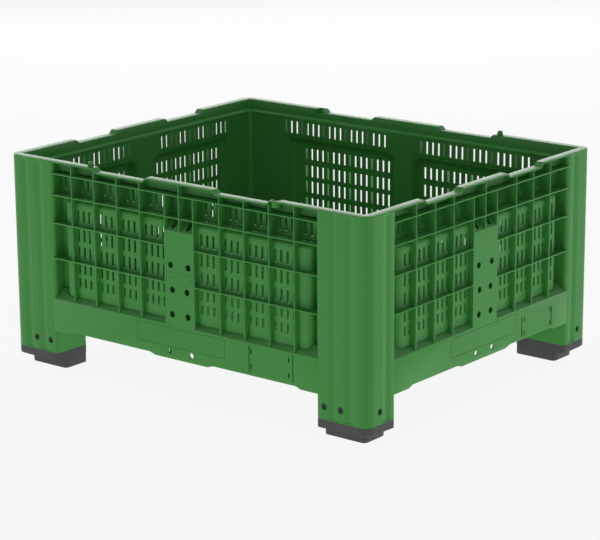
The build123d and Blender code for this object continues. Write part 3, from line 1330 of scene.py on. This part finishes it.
@dataclass(frozen=True)
class CornerPost:
    """The front right corner column: a fluted leg below, an angle of wall above the floor."""

    sizes: BoxSizes
    screw_level: float
    screw_places: Triple
    flute_half: float = 0.0155
    flute_depth: float = 0.0036
    flute_ramp: float = 0.004
    flute_gap: float = 0.0012
    flute_foot: float = 0.0015
    flutes_x: Point = (0.493, 0.544)
    flute_y: float = -0.421
    arc_steps: int = 14
    inside_reach: float = 0.2
    bore_radius: float = 0.0087
    bore_depth: float = 0.007

    def plan(self, with_flutes: bool) -> list[Point]:
        """Outline of the column from above, starting on its front face.

        Args:
            with_flutes: Whether the outline has points at the flutes.

        Returns:
            The corners of the outline, counter-clockwise.
        """
        sizes = self.sizes
        left, right = sizes.column_x, sizes.half_length
        front, back = -sizes.half_width, -sizes.column_y
        small, big = sizes.edge_round, sizes.corner_radius
        stations = [share * self.flute_half for share in (-1, 0, 1)] if with_flutes else []
        points = arc((left + small, front + small), small, 180.0, 270.0, self.arc_steps)
        points += [(middle + station, front) for middle in self.flutes_x for station in stations]
        points += arc((right - big, front + big), big, 270.0, 360.0, self.arc_steps)
        points += [(right, self.flute_y + station) for station in stations]
        points += arc((right - small, back - small), small, 0.0, 90.0, self.arc_steps)
        points += arc((left + small, back - small), small, 90.0, 180.0, self.arc_steps)
        return points

    def build(self) -> Piece:
        """Model the column, its flutes, the inside of the box and the screws' counterbores.

        Returns:
            The column.
        """
        sizes = self.sizes
        top = sizes.rim_top - sizes.rim_thickness
        level = sizes.leg_end
        low, high = level + self.flute_foot, top - self.flute_gap
        piece = trace("post", [(x, y, level) for x, y in self.plan(True)], Closing.FACE)
        steps = ((low, 0), (low + self.flute_ramp, 1), (high - self.flute_ramp, 0), (high, -1), (top, 0))
        for next_level, press in steps:
            self.raise_by(piece, level, next_level, press)
            level = next_level
        face_outwards()
        lip, ledge = sizes.rim_width - sizes.skin / 2, sizes.ledge_level
        cut(piece, [self.inside(sizes.wall_depth, sizes.inside_radius, sizes.floor_bottom, ledge)])
        cut(piece, [self.inside(lip, sizes.lip_radius, ledge - TINY, top + sizes.skin)])
        cut(piece, self.bore_cutters())
        return piece

    def raise_by(self, piece: Piece, level: float, next_level: float, press: int) -> None:
        """Extrude the column's top face up and press the flutes in or let them out again.

        Args:
            piece: Column in edit mode.
            level: Where its top face is.
            next_level: Where it goes.
            press: 1 to press the flutes in, -1 to let them out, 0 to leave them.
        """
        pull((0, 0, next_level - level))
        if not press:
            return
        inset = 0.0 if press > 0 else self.flute_depth
        for place, inwards in self.flutes():
            middle = place + inwards * inset + Vector((0, 0, next_level))
            pick(piece, lambda spot: (spot - middle).length < TINY)
            bpy.ops.transform.translate(value=inwards * press * self.flute_depth)
        pick(piece, lambda spot: abs(spot.z - next_level) < TINY)

    def flutes(self) -> list[tuple[Vector, Vector]]:
        """Middle of each flute on the outer faces, at ground level, and the way inwards there."""
        front = [(Vector((x, -self.sizes.half_width, 0)), Vector((0, 1, 0))) for x in self.flutes_x]
        return front + [(Vector((self.sizes.half_length, self.flute_y, 0)), Vector((-1, 0, 0)))]

    def inside(self, depth: float, radius: float, low: float, high: float) -> Piece:
        """Model one block of the box's inside with its corner rounded, for cutting.

        Args:
            depth: Depth of its faces behind the outer planes.
            radius: Radius of its corner.
            low: Its bottom.
            high: Its top.

        Returns:
            The block.
        """
        right, front, far = self.sizes.half_length - depth, depth - self.sizes.half_width, self.inside_reach
        piece = block("inside", (right - far, front, low), (right, front + far, high))
        round_edges(piece, radius, self.arc_steps,
                    lambda spot: spot.x > right - TINY and spot.y < front + TINY)
        return piece

    def screw_frames(self) -> list[Matrix]:
        """Places of the three screws.

        Returns:
            A matrix for each, with its axis along Y from the outer face inwards.
        """
        first, second, third = self.screw_places
        front = [Matrix.Translation((x, -self.sizes.half_width, self.screw_level)) for x in (first, second)]
        side = Matrix.Translation((self.sizes.half_length, third, self.screw_level))
        return front + [side @ Matrix.Rotation(math.pi / 2, 4, "Z")]

    def bore_cutters(self) -> list[Piece]:
        """Model the counterbores of the three screws, for cutting.

        Returns:
            The cutters.
        """
        bore = cylinder("bore", 56, self.bore_radius, 2 * self.bore_depth, (0.0, 0.0, 0.0))
        cutters = [copy_of(bore, "bore_cutter", place) for place in self.screw_frames()]
        bpy.data.objects.remove(bore)
        return cutters


@dataclass(frozen=True)
class FootCap:
    """The dark cap under one leg: a band of the leg's outline and a narrower plug below it."""

    sizes: BoxSizes
    post: CornerPost
    inset: float = 0.03
    band_bottom: float = 0.028
    band_round: float = 0.003
    plug_round: float = 0.012
    sole_round: float = 0.0025

    def build(self) -> Piece:
        """Model the cap. The band keeps its sharp lower edge where the plug is flush with it.

        Returns:
            The cap at the front right corner.
        """
        sizes = self.sizes
        left, right = sizes.column_x, sizes.half_length - self.inset
        front, back = self.inset - sizes.half_width, -sizes.column_y
        band_places = [(x, y, self.band_bottom) for x, y in self.post.plan(False)]
        band = prism("band", band_places, (0, 0, sizes.leg_end - self.band_bottom - HAIR))
        near = sizes.edge_round - TINY
        round_edges(band, self.band_round, 3, lambda spot: (
            spot.z < self.band_bottom + TINY and spot.x > left + near and spot.y < back - near))
        plug = block("plug", (left, front, 0.0), (right, back, self.band_bottom))
        round_along(plug, 2, self.plug_round, 5)
        round_edges(plug, self.sole_round, 2, lambda spot: spot.z < TINY)
        return join("foot_cap", [band, plug])


@dataclass(frozen=True)
class Screw:
    """A sunk screw head with a six-sided socket, drawn on the outer plane with Y inwards."""

    radius: float = 0.0074
    sink: float = 0.0024
    height: float = 0.0045
    edge_soft: float = 0.0009
    socket_radius: float = 0.0037
    socket_depth: float = 0.0024

    def build(self) -> Piece:
        """Model the screw's head.

        Returns:
            The head.
        """
        head = cylinder("screw", 32, self.radius, self.height, (0, self.sink + self.height / 2, 0))
        soften(head, self.edge_soft, 3)
        cut(head, [cylinder("socket", 6, self.socket_radius, 2 * self.socket_depth, (0, self.sink, 0))])
        return head


@dataclass(frozen=True)
class FloorDeck:
    """The floor: a plate with rows of drain slots over a grid of ribs."""

    sizes: BoxSizes
    corner_cut: float = 0.03
    rib_pitch: float = 0.1
    slot_length: float = 0.06
    slot_width: float = 0.008
    slot_round: float = 0.0038
    slot_pitch: float = 0.05
    rows: int = 16
    columns: int = 10

    def build(self) -> Piece:
        """Model the floor.

        Returns:
            The floor.
        """
        sizes = self.sizes
        half_x, half_y = sizes.half_length - sizes.inside_panel, sizes.half_width - sizes.inside_panel
        plate = block("plate", (-half_x, -half_y, sizes.floor_bottom), (half_x, half_y, sizes.floor_top))
        round_along(plate, 2, self.corner_cut, 1)
        cut(plate, [self.slots()])
        return join("floor", [plate, self.ribs(half_x, half_y)])

    def slots(self) -> Piece:
        """Model the field of drain slots, for cutting.

        Returns:
            The cutter.
        """
        sizes = self.sizes
        first_x = -self.rib_pitch * (self.columns - 2) / 2
        first_y = -self.slot_pitch * (self.rows - 2) / 2
        half_long, half_wide = self.slot_length / 2, self.slot_width / 2
        slot = block("drain", (first_x - half_long, first_y - half_wide, sizes.floor_bottom - sizes.skin),
                     (first_x + half_long, first_y + half_wide, sizes.floor_top + sizes.skin))
        round_along(slot, 2, self.slot_round, 2)
        repeat(slot, self.columns - 1, (self.rib_pitch, 0, 0))
        repeat(slot, self.rows - 1, (0, self.slot_pitch, 0))
        return slot

    def ribs(self, half_x: float, half_y: float) -> Piece:
        """Model the ribs under the plate.

        Args:
            half_x: Half of the plate's length.
            half_y: Half of its width.

        Returns:
            The grid of ribs.
        """
        sizes = self.sizes
        half = sizes.rib / 2
        count_x, count_y = self.columns, self.rows // 2
        first_x, first_y = -self.rib_pitch * (count_x - 1) / 2, -self.rib_pitch * (count_y - 1) / 2
        low, high = sizes.skirt_bottom + HAIR, sizes.floor_bottom + HAIR
        across = block("rib", (first_x - half, -half_y, low + HAIR), (first_x + half, half_y, high))
        repeat(across, count_x, (self.rib_pitch, 0, 0))
        along = block("rib", (-half_x, first_y - half, low), (half_x, first_y + half, high))
        repeat(along, count_y, (0, self.rib_pitch, 0))
        return join("floor_ribs", [across, along])


class PalletBox:
    """The whole box, built piece by piece on the frame."""

    def __init__(self, dresser: Dresser) -> None:
        """Take the sizes from the frame.

        Args:
            dresser: What finishes the pieces.
        """
        self.dresser = dresser
        self.sizes = BoxSizes.from_frame()
        self.long_dips = Dips(start=0.111, end=0.298)
        self.short_dips = Dips(start=0.099, end=0.266)

    def build(self) -> None:
        """Build and dress every piece."""
        self.add_walls()
        self.add_rim()
        self.add_corners()
        floor = FloorDeck(self.sizes).build()
        self.dresser.dress(floor, GREEN, ["floor_deck"])

    def add_walls(self) -> None:
        """Model one long and one short wall and turn each to its two sides."""
        sizes = self.sizes
        long_card = CardHolder(guides=(0.2285, 0.3693), slots=(0.235, 0.3557), height=0.07,
                               rises=(0.008, 0.0485), guide_half=0.0016)
        short_card = CardHolder(guides=(0.1745, 0.316), slots=(0.187, 0.3085), height=0.053,
                                rises=(0.0, 0.039), guide_half=0.0026)
        long_wall = Wall(sizes, "long_wall", half=sizes.column_x, post_half=0.05, post_gap=0.004,
                         rib_count=4, end_slots=0, vent_slots=19, small_plate=True, dips=self.long_dips,
                         tab_half=0.088, lip_width=0.05, card=long_card)
        short_wall = Wall(sizes, "short_wall", half=sizes.column_y, post_half=0.054, post_gap=0.006,
                          rib_count=3, end_slots=2, vent_slots=15, small_plate=False, dips=self.short_dips,
                          tab_half=0.1, lip_width=0.057, card=short_card)
        self.add_pair(long_wall, sizes.half_width, {"front_wall": 0.0, "back_wall": math.pi})
        self.add_pair(short_wall, sizes.half_length, {"right_wall": math.pi / 2, "left_wall": -math.pi / 2})

    def add_pair(self, wall: Wall, distance: float, turns: dict[str, float]) -> None:
        """Model a wall once and place it on two sides of the box.

        Args:
            wall: The wall.
            distance: Distance of its outer plane from the middle of the box.
            turns: Frame nodes that it stands for and how far it is turned there.
        """
        model = wall.build()
        for node, turn in turns.items():
            matrix = Matrix.Rotation(turn, 4, "Z") @ Matrix.Translation((0, -distance, 0))
            self.dresser.dress(copy_of(model, f"{node}_moulding", matrix), GREEN, [node], angle=24.0)
        bpy.data.objects.remove(model)

    def add_rim(self) -> None:
        """Model the rim with its knobs and pockets."""
        rim = Rim(self.sizes, self.long_dips, self.short_dips)
        for piece in [rim.build(), *rim.build_cups(), *rim.build_knobs()]:
            self.dresser.dress(piece, GREEN)

    def add_corners(self) -> None:
        """Model one corner with its cap and screws and mirror it to all four."""
        boxes = [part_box(f"foot_screw_{number}_front_right") for number in (1, 2, 3)]
        first, second, third = [(low + high) / 2 for low, high in boxes]
        post = CornerPost(self.sizes, first.z, (first.x, second.x, third.y))
        column, cap, screw = post.build(), FootCap(self.sizes, post).build(), Screw().build()
        for corner in Corner:
            matrix = corner.matrix()
            leg = copy_of(column, corner.node("post"), matrix)
            self.dresser.dress(leg, GREEN, [corner.node("corner_post")], angle=9.0)
            self.dresser.dress(copy_of(cap, corner.node("cap"), matrix), DARK, [corner.node("foot_cap")])
            for number, place in enumerate(post.screw_frames(), start=1):
                head = copy_of(screw, corner.node(f"screw_{number}"), matrix @ place)
                self.dresser.dress(head, STEEL, [corner.node(f"foot_screw_{number}")])
        for model in (column, cap, screw):
            bpy.data.objects.remove(model)


# Studio


@dataclass(frozen=True)
class SoftLamp:
    """A large soft lamp at a place, aimed at the middle of the box."""

    name: str
    place: Triple
    width: float
    height: float
    watts: float
    mirrored: bool = False
    aim: Triple = (0.0, 0.0, 0.3)

    def add(self) -> None:
        """Add the lamp to the scene, turned towards its aim."""
        lamp = bpy.data.lights.new(self.name, "AREA")
        lamp.shape = "RECTANGLE"
        lamp.size, lamp.size_y = self.width, self.height
        lamp.energy = self.watts
        holder = bpy.data.objects.new(self.name, lamp)
        holder.location = self.place
        holder.rotation_euler = (Vector(self.aim) - Vector(self.place)).to_track_quat("-Z", "Y").to_euler()
        holder.visible_camera = False
        holder.visible_glossy = self.mirrored
        bpy.context.scene.collection.objects.link(holder)


# Three lamps are under the white table, one is behind the box and two are above it
LAMPS = (SoftLamp("front_lamp", (-3.5, -6.9, -6.0), width=6.0, height=6.0, watts=485.0),
         SoftLamp("side_lamp", (5.2, 4.2, -7.4), width=6.0, height=6.0, watts=800.0),
         SoftLamp("fill_lamp", (4.7, -4.7, -7.4), width=5.0, height=5.0, watts=270.0),
         SoftLamp("back_lamp", (-3.75, 4.65, 1.9), width=6.0, height=2.4, watts=95.0, mirrored=True),
         SoftLamp("over_lamp", (8.0, -8.0, 3.6), width=3.0, height=2.0, watts=125.0),
         SoftLamp("high_lamp", (0.0, 0.0, 9.0), width=1.5, height=1.5, watts=110.0))


@dataclass(frozen=True)
class Studio:
    """Floor, light and camera."""

    lamps: tuple[SoftLamp, ...] = LAMPS
    camera_place: Triple = (3.8729, -4.8491, 1.9234)
    camera_aim: Triple = (-0.0023, -0.0048, 0.2485)
    camera_roll: float = -0.0064
    lens: float = 142.0
    sensor: float = 36.0
    horizon: float = 0.3
    zenith: float = 0.19
    ambient_tint: Triple = (0.92, 1.0, 1.0)
    floor_size: float = 40.0
    floor_tone: float = 0.9
    floor_roughness: float = 0.9
    floor_specular: float = 0.1
    floor_seen: float = 0.9

    def build(self) -> None:
        """Set up the whole studio."""
        bpy.context.scene.view_settings.view_transform = "Standard"
        self.add_floor()
        self.light_world()
        for lamp in self.lamps:
            lamp.add()
        self.add_camera()

    def add_floor(self) -> None:
        """Add the pale table top, which lets the lamps below through and keeps a soft shadow."""
        clear_selection()
        bpy.ops.mesh.primitive_plane_add(size=self.floor_size, location=(0, 0, -HAIR))
        floor = name_new("studio_floor")
        material = bpy.data.materials.new("pale_floor")
        material.use_nodes = True
        tree = material.node_tree
        table = feed(tree, tree.nodes["Principled BSDF"], Base_Color=(*[self.floor_tone] * 3, 1.0),
                     Roughness=self.floor_roughness, Specular_IOR_Level=self.floor_specular)
        white = add_node(tree, "Emission").outputs["Emission"]
        shown = self.show_white(tree, self.floor_seen, table.outputs["BSDF"], white)
        feed(tree, tree.nodes["Material Output"], Surface=shown)
        floor.data.materials.append(material)
        floor.visible_shadow = False

    @staticmethod
    def show_white(tree: Tree, share: float, lit: Socket, white: Socket) -> Socket:
        """Blend a shader with the white that the camera, mirrors and glass see there.

        Args:
            tree: Node tree to build in.
            share: Share of white for those rays, which is 0 for all other rays.
            lit: Shader that takes the light.
            white: Shader that is seen.

        Returns:
            The blended shader.
        """
        rays = add_node(tree, "LightPath").outputs
        seen = rays["Is Camera Ray"]
        for operation, source in (("MAXIMUM", rays["Is Glossy Ray"]),
                                  ("MAXIMUM", rays["Is Transmission Ray"]), ("MULTIPLY", share)):
            node = add_node(tree, "Math")
            node.operation = operation
            give(tree, node.inputs[0], seen)
            give(tree, node.inputs[1], source)
            seen = node.outputs["Value"]
        blend = add_node(tree, "MixShader", Fac=seen)
        give(tree, blend.inputs[1], lit)
        give(tree, blend.inputs[2], white)
        return blend.outputs["Shader"]

    def light_world(self) -> None:
        """Light the scene softly from all round, with a white backdrop for the camera and reflections."""
        world = bpy.data.worlds.new("soft_room")
        world.use_nodes = True
        bpy.context.scene.world = world
        tree = world.node_tree
        split = add_node(tree, "SeparateXYZ", Vector=add_node(tree, "TexCoord").outputs["Generated"])
        fade = add_node(tree, "MapRange", Value=split.outputs["Z"], To_Min=self.horizon, To_Max=self.zenith)
        room = feed(tree, tree.nodes["Background"], Color=(*self.ambient_tint, 1.0),
                    Strength=fade.outputs["Result"])
        white = add_node(tree, "Background", Color=(1.0, 1.0, 1.0, 1.0)).outputs["Background"]
        shown = self.show_white(tree, 1.0, room.outputs["Background"], white)
        feed(tree, tree.nodes["World Output"], Surface=shown)

    def add_camera(self) -> None:
        """Add the camera at the photograph's viewing angle."""
        camera = bpy.data.cameras.new("camera")
        camera.lens = self.lens
        camera.sensor_width = self.sensor
        holder = bpy.data.objects.new("camera", camera)
        place = Vector(self.camera_place)
        look = (Vector(self.camera_aim) - place).to_track_quat("-Z", "Y").to_matrix().to_4x4()
        holder.matrix_world = Matrix.Translation(place) @ look @ Matrix.Rotation(self.camera_roll, 4, "Z")
        bpy.context.scene.collection.objects.link(holder)
        bpy.context.scene.camera = holder


def main() -> None:
    """Build the pallet box and its studio."""
    logging.basicConfig(level=logging.INFO, format="%(message)s")
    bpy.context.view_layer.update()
    PalletBox(Dresser()).build()
    Studio().build()


if __name__ == "__main__":
    main()
